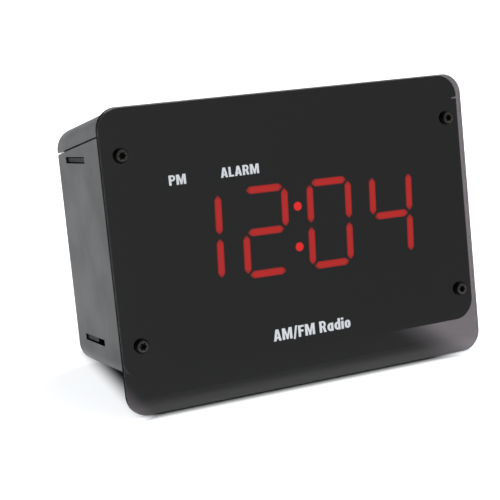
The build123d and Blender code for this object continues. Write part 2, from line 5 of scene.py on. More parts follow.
import bmesh
import bpy
import numpy as np
from mathutils import Euler, Matrix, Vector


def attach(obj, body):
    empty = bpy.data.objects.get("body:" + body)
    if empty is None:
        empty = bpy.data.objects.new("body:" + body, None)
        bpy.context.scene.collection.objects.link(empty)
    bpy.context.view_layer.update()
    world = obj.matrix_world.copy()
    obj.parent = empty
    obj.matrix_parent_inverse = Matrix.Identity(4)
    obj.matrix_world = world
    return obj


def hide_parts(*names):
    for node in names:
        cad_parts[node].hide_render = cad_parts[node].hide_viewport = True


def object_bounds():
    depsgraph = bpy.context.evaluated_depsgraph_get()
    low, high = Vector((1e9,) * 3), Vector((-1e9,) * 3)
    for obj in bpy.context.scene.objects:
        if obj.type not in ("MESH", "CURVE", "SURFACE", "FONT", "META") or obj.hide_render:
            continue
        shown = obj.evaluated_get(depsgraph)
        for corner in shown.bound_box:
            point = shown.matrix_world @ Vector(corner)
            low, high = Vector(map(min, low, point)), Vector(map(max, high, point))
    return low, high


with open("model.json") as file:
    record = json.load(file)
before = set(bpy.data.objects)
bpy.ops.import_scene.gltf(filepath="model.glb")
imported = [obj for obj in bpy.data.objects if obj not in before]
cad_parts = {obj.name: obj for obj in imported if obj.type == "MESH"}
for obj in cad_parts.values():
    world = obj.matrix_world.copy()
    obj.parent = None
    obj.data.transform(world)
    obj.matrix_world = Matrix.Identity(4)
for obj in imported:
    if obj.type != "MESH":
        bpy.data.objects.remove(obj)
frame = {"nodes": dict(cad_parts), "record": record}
CAD_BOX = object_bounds()

bl_info = {
    "name": "Smoked-front clock radio",
    "version": (1, 0, 0),
    "blender": (4, 5, 0),
    "location": "3D View > Sidebar > Clock radio",
    "description": "Finishes, printed words, lit digits and a studio for a table clock radio",
    "category": "Object",
}

MM = 0.001
NODES = frame["nodes"]
LEAN = math.radians(13.3)          # the standing radio leans back by this much
INLET = (50.0, 71.6, 34.0)         # the supply inlet's mouth in the upright case frame, in millimetres
SLOPE = math.radians(7.1)          # fall of the top cover towards the back
COVER = (0.0, 2.4, 151.3)          # middle of the cover's front top edge, in the upright case frame
SHEET = (208.0, 152.0, 2.4)        # the front sheet's width, height and thickness
SHEET_CORNER = 11.0
SHEET_CHAMFER = 0.26               # how far from each face the sheet's edge is at its full size
BAND_SETBACK = 0.06                # how far the black edge band stops short of each face
SHEET_SHRINK = 0.12                # how far inside that size the polished sheet stays
BAND_INSET = 0.06                  # how far inside it the black edge band starts, and its thickness
SHEET_BEVEL = 0.18
SCREWS = [(x, z) for x in (-93.5, 93.5) for z in (35.0, 128.5)]
SCREW_HOLE_R = 2.2
RECESS_R, RECESS_LOBE = 1.52, 0.34      # the six-lobed recess: its mean radius and the swing of its lobes
RECESS_FLOOR, SCREW_TOP = -0.9, -2.4    # depths in front of the sheet, so they are negative
CROWN_R, CROWN_RISE = 1.45, 1.95        # the button head's rounding, outward and forward
SHANK_R, SCREW_END = 2.0, 12.0
THREAD_PITCH, THREAD_DEPTH = 0.7, 0.28
# values on flank, thread and crown for the screws' rubbing-and-highlight attribute; the crown's lighter grey is
# partly rubbing and partly a painted highlight
FLANK_WEAR, THREAD_WEAR, CROWN_WEAR_AND_HIGHLIGHT = 0.0, 0.3, 0.9
REAR_FACE = 70.0
WALL_FACE = 102.5                  # outer face of the case's right wall
LIFT = 0.02                        # how far the printed ink stands off its surface
INK = 0.01                         # half the thickness of the ink

DIGIT_PITCH = 37.4                 # the seven-segment digits, as in the CAD
DIGIT_HALF_W = 11.3
DIGIT_HALF_H = 21.5
UPRIGHT = (1.2, 20.6)
LEVEL = 20.4
SLANT = math.radians(2.1)
TURN = math.radians(-0.9)
DISPLAY_Z = 81.5
DISPLAY_Y = 2.75
TIME = ("bc", "abged", "abcdef", "fgbc")
COLON_R, COLON_Z = 2.4, 10.5
SEGMENT_BACK = 0.75                # depth of a lit segment behind its rim
NOSE, NOSE_TIP = 1.9, 0.16         # length of a segment's blunt nose, and its tip's share of the width
FADE, END_GLOW = 2.6, 0.55         # its light fades over this length to this share at its ends
SEGMENT_LIGHT, COLON_LIGHT = 4.1, 6.9

# Indicator words: (name, text, left, right, base line) on the sheet.
INDICATORS = (("pm_word", "PM", -70.1, -61.0, 111.1), ("alarm_word", "ALARM", -42.1, -20.8, 111.7))
CAPTION = (-21.8, 23.6, 24.9)      # the caption's left, right and base line
# Small printing: on the cover (text, across, back), on the rear panel (name, text, across, up) and on the
# right wall (name, text, back, up).
COVER_LEGENDS = (("SNOOZE", 0.0, 12.5), ("TIME", -48.0, 40.2), ("ALARM", -24.0, 40.2), ("HOUR", 24.0, 40.2),
                 ("MIN", 48.0, 40.2))
REAR_LEGENDS = (("band_legend", "AM      FM", 28.0, 71.4), ("mode_legend", "OFF   ON   ALARM", 28.0, 97.4),
                ("inlet_legend", "DC IN", 50.0, 42.4), ("battery_legend", "9 V BACKUP", -48.0, 54.4))
WALL_LEGENDS = (("volume_legend", "VOLUME", 47.2, 44.4), ("tuning_legend", "TUNING", 47.2, 84.4))


# Stage: each pair is where a smooth change starts and ends.
SHADOW_MASK = (0.84, 0.98)                # the painted shadow under the radio: where the floor's dark mask fades, as a share of the radio's half width and depth
SHADOW_MASK_RIGHT = (0.42, 0.56)          # slope and start that soften the painted shadow towards the right
SHADOW_MASK_SHADE = 0.3                   # the painted shadow's share of the floor's colour
FLOOR_FRONT, FRONT_SHARE = (-1.0, -0.4), 0.6    # metres in front over which the floor's light falls to a share
HORIZON = (-0.12, 0.2)             # heights on the sky's unit sphere between the low and high walls
OPEN_WAY = (0.66, -0.74, 0.1)      # direction of the open side
OPEN_SPREAD = (0.45, 0.85)         # cosines from that direction over which it opens
OPEN_MIDDLE = (0.9, 1.0)           # cosines over which it darkens towards its middle
OPEN_EDGE_SHARE, OPEN_MIDDLE_SHARE = 1.12, 0.92
OPEN_LIFT, OPEN_FOOT = (-0.01, 0.03), 0.66      # heights over which it rises from its brightness at the floor
LAMP_PLACE, LAMP_SIZE = (0.62, 0.16, 1.32), 1.2


# ---- frames ------------------------------------------------------------------------------------------
def turn_x(points, angle):
    """Turn points about the X axis: y and z go round by the angle."""
    x, y, z = np.moveaxis(np.asarray(points, float), -1, 0)
    c, s = math.cos(angle), math.sin(angle)
    return np.stack((x, y * c - z * s, y * s + z * c), axis=-1)


INLET_NOW = next(m["pos_m"] for m in frame["record"]["mounts"] if m["name"] == "dc_inlet")
ORIGIN = np.array(INLET_NOW) - turn_x(np.array(INLET) * MM, -LEAN)


def stand(points):
    """Take points in the upright case frame, in millimetres, to the standing radio, in metres."""
    return turn_x(np.asarray(points, float) * MM, -LEAN) + ORIGIN


def on_cover(points):
    """Take points on the sloping cover (across, back, out), in millimetres, to the upright case frame."""
    return turn_x(points, -SLOPE) + np.array(COVER)


# ---- material helpers --------------------------------------------------------------------------------
def linear(code):
    """An sRGB hex code as a linear colour."""
    values = [int(code[i:i + 2], 16) / 255 for i in (1, 3, 5)]
    return [v / 12.92 if v <= 0.04045 else ((v + 0.055) / 1.055) ** 2.4 for v in values] + [1.0]


def times(colour, gain):
    """A linear colour brightened or darkened by gain."""
    return [gain * value for value in colour[:3]] + [1.0]


def new_material(name):
    """An empty node material: (material, tree, output node)."""
    material = bpy.data.materials.new(name)
    material.use_nodes = True
    tree = material.node_tree
    tree.nodes.clear()
    return material, tree, tree.nodes.new("ShaderNodeOutputMaterial")


def add(tree, kind, values=None, links=None, stops=(), **settings):
    """Add a node, set its attributes, input values and colour stops, and link its inputs to the outputs of
    other nodes."""
    node = tree.nodes.new(kind)
    for key, value in settings.items():
        setattr(node, key, value)
    for key, value in (values or {}).items():
        node.inputs[key].default_value = value
    for key, output in (links or {}).items():
        tree.links.new(output, node.inputs[key])
    for element, (position, colour) in zip(node.color_ramp.elements if stops else (), stops):
        element.position = position
        element.color = colour
    return node


# A noise value stays near the middle of 0 to 1, so it is spread from between these limits.
NOISE_LOW, NOISE_HIGH = 0.3, 0.7
PATCH_MM = 25.0                    # width of the patches of slightly different gloss that handling leaves


# ---- finishes -----------------------------------------------------------------------------------------
def moulded(name, colour, roughness, grain_mm, depth_mm, edge_mm=0.3, swing=0.05, contrast=0.12,
            specular=0.5):
    """A moulded plastic or rubber. The tool's spark-eroded or blasted grain gives the surface a fine
    sparkle, handling and flow leave broad patches of slightly different gloss, and the tool's cut edges
    come out rounded by edge_mm. grain_mm is the width of one grain and depth_mm its depth."""
    material, tree, output = new_material(name)
    place = add(tree, "ShaderNodeTexCoord").outputs["Object"]
    grain = add(tree, "ShaderNodeTexNoise", {"Scale": 1 / (grain_mm * MM)}, {"Vector": place}).outputs["Fac"]
    patch = add(tree, "ShaderNodeTexNoise", {"Scale": 1 / (PATCH_MM * MM), "Detail": 3.0}, {"Vector": place})
    gloss = add(tree, "ShaderNodeMapRange", {
        "From Min": NOISE_LOW, "From Max": NOISE_HIGH, "To Min": roughness - swing, "To Max": roughness + swing},
        {"Value": patch.outputs["Fac"]})
    shade = add(tree, "ShaderNodeValToRGB", links={"Fac": grain}, stops=(
        (NOISE_LOW, times(colour, 1 - contrast)), (NOISE_HIGH, times(colour, 1 + contrast))))
    shader = add(tree, "ShaderNodeBsdfPrincipled", {"IOR": 1.53, "Specular IOR Level": specular},
                 {"Base Color": shade.outputs["Color"], "Roughness": gloss.outputs["Result"]})
    if depth_mm:
        soft = add(tree, "ShaderNodeBevel", {"Radius": edge_mm * MM}, samples=4)
        bump = add(tree, "ShaderNodeBump", {"Distance": depth_mm * MM},
                   {"Height": grain, "Normal": soft.outputs["Normal"]})
        tree.links.new(bump.outputs["Normal"], shader.inputs["Normal"])
    tree.links.new(shader.outputs["BSDF"], output.inputs["Surface"])
    return material


def metal(name, code, dark, roughness, mark_mm=0.4):
    """A plated, turned or rolled metal: tooling marks mark_mm wide change its gloss and shade a little, and
    its edges catch a thin line of light."""
    material, tree, output = new_material(name)
    place = add(tree, "ShaderNodeTexCoord").outputs["Object"]
    marks = add(tree, "ShaderNodeTexNoise", {"Scale": 1 / (mark_mm * MM), "Detail": 4.0},
                {"Vector": place}).outputs["Fac"]
    shade = add(tree, "ShaderNodeValToRGB", links={"Fac": marks},
                stops=((NOISE_LOW, linear(dark)), (NOISE_HIGH, linear(code))))
    gloss = add(tree, "ShaderNodeMapRange", {
        "From Min": NOISE_LOW, "From Max": NOISE_HIGH, "To Min": roughness - 0.08, "To Max": roughness + 0.1},
        {"Value": marks})
    soft = add(tree, "ShaderNodeBevel", {"Radius": 0.12 * MM}, samples=4)
    shader = add(tree, "ShaderNodeBsdfPrincipled", {"Metallic": 1.0}, {
        "Base Color": shade.outputs["Color"], "Roughness": gloss.outputs["Result"],
        "Normal": soft.outputs["Normal"]})
    tree.links.new(shader.outputs["BSDF"], output.inputs["Surface"])
    return material


def cast_acrylic(smoke):
    """Polished cast acrylic, dyed smoke grey with a little violet: a clean mirror at its outer faces, by
    Fresnel's law, and a tenth of the light comes through it. Half of the dye's work is done at each face,
    so what is behind stays sharp and free of grain."""
    material, tree, output = new_material("smoked_cast_acrylic")
    side = add(tree, "ShaderNodeNewGeometry").outputs["Backfacing"]
    outer = add(tree, "ShaderNodeMath", {0: 1.0}, {1: side}, operation="SUBTRACT").outputs["Value"]
    mirror = add(tree, "ShaderNodeFresnel", {"IOR": 1.49}).outputs["Fac"]
    share = add(tree, "ShaderNodeMath", links={0: outer, 1: mirror}, operation="MULTIPLY")
    through = add(tree, "ShaderNodeBsdfTransparent", {"Color": [math.sqrt(value) for value in smoke] + [1.0]})
    gloss = add(tree, "ShaderNodeBsdfGlossy", {"Color": (1, 1, 1, 1), "Roughness": 0.0})
    shader = add(tree, "ShaderNodeMixShader", links={
        0: share.outputs["Value"], 1: through.outputs["BSDF"], 2: gloss.outputs["BSDF"]})
    tree.links.new(shader.outputs["Shader"], output.inputs["Surface"])
    return material


def sawn_edge():
    """Saw-cut edge of dyed acrylic: light has the whole width of the dye to cross, so from outside the edge
    is matt black, and from within, through the sheet, it is not seen at all. The piece's own outer
    attribute is 1 on its outward faces."""
    material, tree, output = new_material("saw_cut_acrylic_edge")
    side = add(tree, "ShaderNodeNewGeometry").outputs["Backfacing"]
    outward = add(tree, "ShaderNodeAttribute", attribute_name="outer").outputs["Fac"]
    seen = add(tree, "ShaderNodeMath", {0: 1.0}, {1: side}, operation="SUBTRACT").outputs["Value"]
    share = add(tree, "ShaderNodeMath", links={0: seen, 1: outward}, operation="MULTIPLY")
    clear = add(tree, "ShaderNodeBsdfTransparent", {"Color": (1, 1, 1, 1)})
    black = add(tree, "ShaderNodeBsdfPrincipled", {
        "Base Color": linear("#050506"), "Roughness": 0.8, "Specular IOR Level": 0.06})
    shader = add(tree, "ShaderNodeMixShader", links={
        0: share.outputs["Value"], 1: clear.outputs["BSDF"], 2: black.outputs["BSDF"]})
    tree.links.new(shader.outputs["Shader"], output.inputs["Surface"])
    return material


def lit_epoxy(name, colour, strength):
    """Red diffusing epoxy with a lit chip under it: it glows most along its middle and fades at its rim,
    by the piece's own glow attribute."""
    material, tree, output = new_material(name)
    glow = add(tree, "ShaderNodeAttribute", attribute_name="glow").outputs["Fac"]
    light = add(tree, "ShaderNodeValToRGB", links={"Fac": glow},
                stops=((0.0, times(colour, 0.12)), (1.0, times(colour, 1.0))))
    shader = add(tree, "ShaderNodeBsdfPrincipled", {
        "Base Color": linear("#5a0d0d"), "Roughness": 0.35, "Emission Strength": strength},
        {"Emission Color": light.outputs["Color"]})
    tree.links.new(shader.outputs["BSDF"], output.inputs["Surface"])
    return material


def oxide_steel():
    """Black-oxide steel: matt black flanks, and a dull grey crown and recess rim, by the piece's own attribute
    for rubbing and highlight and a fine speckle. The crown's grey is partly rubbing by handling and partly a
    painted highlight; the rim's grey is a painted highlight."""
    material, tree, output = new_material("black_oxide_steel_rubbed_and_highlit")
    place = add(tree, "ShaderNodeTexCoord").outputs["Object"]
    marks = add(tree, "ShaderNodeTexNoise", {"Scale": 1 / (0.35 * MM), "Detail": 3.0}, {"Vector": place})
    speckle = add(tree, "ShaderNodeMapRange", {
        "From Min": NOISE_LOW, "From Max": NOISE_HIGH, "To Min": -0.12, "To Max": 0.12},
        {"Value": marks.outputs["Fac"]}).outputs["Result"]
    wear_and_highlight = add(tree, "ShaderNodeAttribute", attribute_name="wear_and_highlight").outputs["Fac"]
    total = add(tree, "ShaderNodeMath", links={0: wear_and_highlight, 1: speckle}, use_clamp=True).outputs["Value"]
    # black where the attribute is 0, dull grey where it is high: rubbed metal on the crown, painted highlight on
    # the crown and recess rim
    shade = add(tree, "ShaderNodeValToRGB", links={"Fac": total},
                stops=((0.15, linear("#050505")), (0.85, linear("#45433f"))))
    gloss = add(tree, "ShaderNodeMapRange", {"To Min": 0.6, "To Max": 0.3}, {"Value": total})
    shader = add(tree, "ShaderNodeBsdfPrincipled", {"Metallic": 0.85},
                 {"Base Color": shade.outputs["Color"], "Roughness": gloss.outputs["Result"]})
    tree.links.new(shader.outputs["BSDF"], output.inputs["Surface"])
    return material


def ink(name, colour, roughness=0.6):
    """Printed ink: dense and matt, with a faint weave from the screen, drawn 0.25 mm wide."""
    material, tree, output = new_material(name)
    place = add(tree, "ShaderNodeTexCoord").outputs["Object"]
    weave = add(tree, "ShaderNodeTexNoise", {"Scale": 1 / (0.25 * MM)}, {"Vector": place})
    shade = add(tree, "ShaderNodeValToRGB", links={"Fac": weave.outputs["Fac"]},
                stops=((NOISE_LOW, times(colour, 0.92)), (NOISE_HIGH, times(colour, 1.04))))
    shader = add(tree, "ShaderNodeBsdfPrincipled", {"Roughness": roughness},
                 {"Base Color": shade.outputs["Color"]})
    tree.links.new(shader.outputs["BSDF"], output.inputs["Surface"])
    return material


def finishes(settings):
    """One material for each of the record's slots, with what the eye gets from its finish beside it."""
    return {
        # A dark pane that mirrors the room and lets only the lit digits and the chassis edge through.
        "smoked_acrylic": cast_acrylic(settings.smoke_colour),
        # A satin skin: broad, soft reflections that follow the bends.
        "case_plastic": moulded("satin_black_abs", settings.case_colour, 0.33, 0.5, 0.008, specular=0.18),
        # A coarser, duller grain that breaks up the light on the back.
        "rear_plastic": moulded("spark_grained_black_abs", linear("#171719"), 0.55, 0.8, 0.05, specular=0.42),
        # Flat and dark, so that nothing behind the sheet draws the eye from the digits.
        "chassis_plastic": moulded(
            "matt_black_abs", linear("#0b0b0c"), 0.60, 0.8, 0, contrast=0.01, specular=0.25),
        # Keys a little glossier than the case, where fingers polish them.
        "control_plastic": moulded("black_key_abs", linear("#131315"), 0.42, 0.4, 0.010, edge_mm=0.2),
        # The mask round the segments, the darkest thing in the display.
        "display_black": moulded(
            "matt_black_mask", linear("#060607"), 0.70, 0.8, 0, contrast=0.01, specular=0.2),
        # Unlit segments: barely redder than the mask, all but lost behind the smoke.
        "display_grey": moulded("unlit_epoxy", linear("#080606"), 0.6, 0.8, 0, contrast=0.01, specular=0.2),
        # Even red light with a soft rim.
        "lit_red": lit_epoxy("lit_red_epoxy", settings.lit_colour, SEGMENT_LIGHT),
        # Glossy dark red lamps, not lit.
        "dark_red": moulded("unlit_red_epoxy", linear("#1c0606"), 0.25, 0.8, 0.002),
        # Black screws with a thin light line at each edge.
        "black_steel": metal("black_oxide_steel", "#34332f", "#1f1f1e", 0.36),
        # Pale, slightly blue-white screws and nuts.
        "zinc_steel": metal("zinc_plated_steel", "#c6c6c0", "#a9aaa6", 0.35),
        # Bright soft-edged reflections off tuner and crystal cans.
        "bright_can": metal("tinned_steel", "#cfcfcf", "#b5b5b5", 0.25),
        # Warm turned pins and inserts.
        "brass": metal("turned_brass", "#c9a557", "#b08f45", 0.28),
        # The dull tan of a cheap single-sided board.
        "circuit_board": moulded("phenolic_paper_board", linear("#8c6a3c"), 0.5, 0.8, 0.01),
        # Dull black blocks with a fine even grain.
        "chip_black": moulded("moulded_epoxy_package", linear("#151516"), 0.5, 0.3, 0.01),
        # A shiny dark blue film drawn tight round each can.
        "capacitor_sleeve": moulded("shrink_sleeve", linear("#16204a"), 0.3, 0.8, 0.004),
        # A waxy off-white.
        "nylon": moulded("natural_nylon", linear("#d6d1c2"), 0.45, 0.6, 0.006),
        # Dark grey and fine-grained, like fired clay.
        "ferrite": moulded("sintered_ferrite", linear("#222226"), 0.45, 0.3, 0.02),
        # Glossy reddish wire under a clear coat.
        "copper_wire": metal("enamelled_copper", "#b3622f", "#8f4a20", 0.3),
        # Fibrous and quite matt.
        "cone_paper": moulded("pressed_cone_paper", linear("#151515"), 0.8, 0.9, 0.06),
        # Dead matt and pitted.
        "foam": moulded("open_cell_foam", linear("#1c1c1c"), 0.9, 0.7, 0.15),
        # A smooth dark blue-grey lacquer.
        "battery_can": moulded("printed_battery_can", linear("#2b2f3a"), 0.35, 1.0, 0.004),
        # Matt, soft-looking black.
        "foot_rubber": moulded("soft_rubber", linear("#121212"), 0.75, 0.5, 0.02),
    }


# ---- meshes -------------------------------------------------------------------------------------------
def grid_faces(rows, columns, wrap_rows=False, wrap_columns=True):
    """The quads of a grid of points, joined round in either direction if asked."""
    index = np.arange(rows * columns).reshape(rows, columns)
    down = np.roll(index, -1, axis=0) if wrap_rows else index[1:]
    up = index if wrap_rows else index[:-1]
    if wrap_columns:
        return np.stack((up, np.roll(up, -1, axis=1), np.roll(down, -1, axis=1), down), -1).reshape(-1, 4)
    return np.stack((up[:, :-1], up[:, 1:], down[:, 1:], down[:, :-1]), -1).reshape(-1, 4)


def make_piece(name, points, faces, material, values=None, smooth=True):
    """A mesh from an array of points in metres, its faces and named values for each point, on the case."""
    mesh = bpy.data.meshes.new(name)
    mesh.from_pydata(np.asarray(points).reshape(-1, 3).tolist(), [], [list(map(int, face)) for face in faces])
    for key, value in (values or {}).items():
        mesh.attributes.new(key, "FLOAT", "POINT").data.foreach_set("value", np.ravel(value).astype(np.float32))
    if smooth:
        mesh.shade_smooth()
        mesh.set_sharp_from_angle(angle=math.radians(40))
    mesh.materials.append(material)
    piece = bpy.data.objects.new(name, mesh)
    bpy.context.scene.collection.objects.link(piece)
    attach(piece, "case")
    return piece


def gather(parts):
    """Join (points, faces, value) triples into one: each part's faces count on from the points before."""
    counts = np.cumsum([0] + [len(points) for points, _, _ in parts])
    faces = [list(np.asarray(face) + start) for (_, own, _), start in zip(parts, counts) for face in own]
    return np.concatenate([p for p, _, _ in parts]), faces, np.concatenate([np.ravel(v) for _, _, v in parts])


def rounded_loop(width, height, corner, steps=16):
    """A rectangle with round corners, counter-clockwise: four quarter circles about its inset corners."""
    quarter = np.linspace(0, np.pi / 2, steps)
    angle = np.concatenate([quarter + k * np.pi / 2 for k in range(4)])
    centre = np.repeat(np.array([(1, 1), (-1, 1), (-1, -1), (1, -1)]), steps, axis=0)
    inner = centre * (np.array((width, height)) / 2 - corner)
    return inner + corner * np.stack((np.cos(angle), np.sin(angle)), -1)


# ---- front sheet ----------------------------------------------------------------------------------------
def edge_band(material):
    """The thin black band round the sheet's edge: the sheet's outline carried along a narrow section whose
    outer corners are broken, so that a section point (out, depth) lies out from the inset outline, square
    to it."""
    width, height, depth = SHEET
    inset = thick = BAND_INSET
    near, broken = BAND_SETBACK, SHEET_CHAMFER
    section = np.array(((0.0, near), (thick / 4, near), (thick, broken), (thick, depth - broken),
                        (thick / 4, depth - near), (0.0, depth - near)))
    loops = []
    for out, y in section:
        grow = 2 * (out - inset)
        loop = rounded_loop(width + grow, height + grow, SHEET_CORNER + grow / 2)
        loops.append(np.stack((loop[:, 0], 0 * loop[:, 0] + y, loop[:, 1] + height / 2), -1))
    points = np.array(loops)
    faces = grid_faces(*points.shape[:2], wrap_rows=True)
    outer = np.repeat((section[:, 0] > 0).astype(float), points.shape[1])
    piece = make_piece("sheet_edge_band", stand(points), faces, material,
                       values={"outer": outer}, smooth=False)
    weld(piece.data)
    return piece


def front_sheet(material):
    """The polished sheet: its outline swept through the thickness with a small bevel at each face, and each
    hole a circle swept through it."""
    width, height, depth = SHEET
    curve = flat_curve("sheet_outline", depth / 2 - SHEET_BEVEL)
    curve.bevel_depth = SHEET_BEVEL
    curve.offset = -SHEET_BEVEL
    curve.bevel_resolution = 1
    loop = rounded_loop(width - 2 * SHEET_SHRINK, height - 2 * SHEET_SHRINK, SHEET_CORNER - SHEET_SHRINK)
    add_loop(curve, loop + (0, height / 2))
    angle = np.linspace(0, 2 * np.pi, 40, endpoint=False)
    circle = SCREW_HOLE_R * np.stack((np.cos(angle), np.sin(angle)), -1)
    for place in SCREWS:
        add_loop(curve, circle + place)
    return flat_piece("front_sheet", curve, lambda p: np.stack((p[:, 0], depth / 2 - p[:, 2], p[:, 1]), -1),
                      material)


def flat_curve(name, half_thick):
    """An empty flat curve, filled and given a thickness."""
    curve = bpy.data.curves.new(name, "CURVE")
    curve.dimensions = "2D"
    curve.fill_mode = "BOTH"
    curve.extrude = half_thick
    return curve


def add_loop(curve, loop):
    """Add a closed loop of points (across, up) to a flat curve."""
    spline = curve.splines.new("POLY")
    spline.points.add(len(loop) - 1)
    spline.points.foreach_set("co", np.c_[loop, 0 * loop[:, 0], 0 * loop[:, 0] + 1].ravel())
    spline.use_cyclic_u = True


def flat_piece(name, curve, place, material):
    """Make a flat curve or text a mesh, and send its points (across, up, out) through place to the upright
    case frame."""
    trial = bpy.data.objects.new(name + "_flat", curve)
    bpy.context.scene.collection.objects.link(trial)
    bpy.context.view_layer.update()
    mesh = bpy.data.meshes.new_from_object(trial.evaluated_get(bpy.context.evaluated_depsgraph_get()))
    bpy.data.objects.remove(trial)
    points = np.zeros(len(mesh.vertices) * 3)
    mesh.vertices.foreach_get("co", points)
    faces = [tuple(polygon.vertices) for polygon in mesh.polygons]
    bpy.data.meshes.remove(mesh)
    placed = stand(place(points.reshape(-1, 3)))
    piece = make_piece(name, placed, faces, material, smooth=False)
    weld(piece.data)
    return piece


def weld(mesh):
    """Merge a mesh's doubled points and turn its faces outward."""
    work = bmesh.new()
    work.from_mesh(mesh)
    bmesh.ops.remove_doubles(work, verts=work.verts, dist=1e-7)
    bmesh.ops.recalc_face_normals(work, faces=work.faces)
    work.to_mesh(mesh)
    work.free()


# ---- printed words --------------------------------------------------------------------------------------
STROKE = 0.235     # width of a letter's stroke, as a share of the capital's height
CAPITAL = 0.7      # height of the plain lettering's capitals, as a share of its size


def arc(x, y, rx, ry, start, end, steps=8):
    """Points round part of an ellipse: centre plus radii times the cosine and sine of the angle."""
    angle = np.radians(np.linspace(start, end, steps))
    return np.stack((x + rx * np.cos(angle), y + ry * np.sin(angle)), -1).tolist()


def ring(left, right, low, high):
    """A round letter's two loops: an outer oval box and the hole inside it."""
    x, y, rx = (left + right) / 2, (low + high) / 2, (right - left) / 2
    ry = min(rx, (high - low) / 2)
    reach = (high - low) / 2 - ry
    outer = arc(x, y + reach, rx, ry, 0, 180) + arc(x, y - reach, rx, ry, 180, 360)
    ix, iy = rx - STROKE, ry - STROKE * 0.7
    inner = arc(x, y + reach, ix, iy, 0, 180) + arc(x, y - reach, ix, iy, 180, 360)
    return outer, inner


def letters():
    """Bold narrow capitals and small letters of plain geometry: each is (width, loops), with the capital 1
    high and every loop a closed outline or hole."""
    s, t = STROKE, STROKE * 0.72
    bowl = arc(0.36, 0.70, 0.26, 0.30, -90, 90)
    bowl_hole = arc(0.34, 0.70, 0.26 - s * 0.72, 0.30 - t, -90, 90)
    small = 0.72
    round_outer, round_inner = ring(0.0, 0.56, 0.0, small)
    stem_d = [(0.56 - s, 0), (0.56, 0), (0.56, 1), (0.56 - s, 1)]
    half = arc(0.32, small / 2, 0.32, small / 2, 90, 270, 12)
    half_hole = arc(0.32, small / 2, 0.32 - s, small / 2 - t, 90, 270, 10)
    return {
        "P": (0.62, [[(0, 0), (s, 0), (s, 0.40), *bowl, (0, 1)],
                     [(s, 0.40 + t), *bowl_hole, (s, 1 - t)]]),
        "R": (0.66, [[(0, 0), (s, 0), (s, 0.40), (0.31, 0.40), (0.41, 0), (0.66, 0), (0.52, 0.45),
                      *arc(0.36, 0.70, 0.26, 0.30, -50, 90), (0, 1)],
                     [(s, 0.40 + t), *bowl_hole, (s, 1 - t)]]),
        "M": (0.92, [[(0, 0), (0, 1), (0.29, 1), (0.46, 0.42), (0.63, 1), (0.92, 1), (0.92, 0),
                      (0.92 - s, 0), (0.92 - s, 0.62), (0.54, 0), (0.38, 0), (s, 0.62), (s, 0)]]),
        "A": (0.72, [[(0, 0), (0.22, 1), (0.50, 1), (0.72, 0), (0.48, 0), (0.445, 0.19), (0.275, 0.19),
                      (0.24, 0)],
                     [(0.305, 0.36), (0.415, 0.36), (0.36, 0.70)]]),
        "L": (0.52, [[(0, 0), (0, 1), (s, 1), (s, t), (0.52, t), (0.52, 0)]]),
        "F": (0.54, [[(0, 0), (0, 1), (0.54, 1), (0.54, 1 - t), (s, 1 - t), (s, 0.60), (0.48, 0.60),
                      (0.48, 0.60 - t), (s, 0.60 - t), (s, 0)]]),
        "/": (0.40, [[(0, -0.1), (0.24, 1.05), (0.42, 1.05), (0.18, -0.1)]]),
        "o": (0.56, [round_outer, round_inner]),
        "a": (0.58, [[*half, (0.58, 0), (0.58, small)],
                     [*half_hole, (0.58 - s, t), (0.58 - s, small - t)]]),
        "d": (0.58, [[*half, (0.58, 0), (0.58, 1), (0.58 - s, 1), (0.58 - s, small)],
                     [*half_hole, (0.58 - s, t), (0.58 - s, small - t)]]),
        "i": (s, [[(0, 0), (0, small - 0.02), (s, small - 0.02), (s, 0)],
                  [(0, 0.82), (0, 1), (s, 1), (s, 0.82)]]),
        " ": (0.26, []),
    }


def words(name, text, left, right, base, cap, material, gap=0.09):
    """Bold printed lettering on the sheet: the letters side by side, stretched to run from left to right, on
    a base line, cap millimetres high."""
    shapes = letters()
    curve = flat_curve(name, INK)
    total = sum(shapes[letter][0] + gap for letter in text) - gap
    stretch = (right - left) / total
    at = 0.0
    for letter in text:
        width, loops = shapes[letter]
        for loop in loops:
            add_loop(curve, (np.array(loop) + (at, 0)) * (stretch, cap) + (left, base))
        at += width + gap
    return flat_piece(name, curve, lambda p: np.stack((p[:, 0], -LIFT - p[:, 2], p[:, 1]), -1),
                      material)


def legend(name, text, height, place, material):
    """Small plain lettering, centred, its capitals height millimetres tall, sent through place."""
    curve = bpy.data.curves.new(name, "FONT")
    curve.body = text
    curve.size = height / CAPITAL
    curve.align_x = "CENTER"
    curve.extrude = INK
    curve.resolution_u = 3
    return flat_piece(name, curve, place, material)


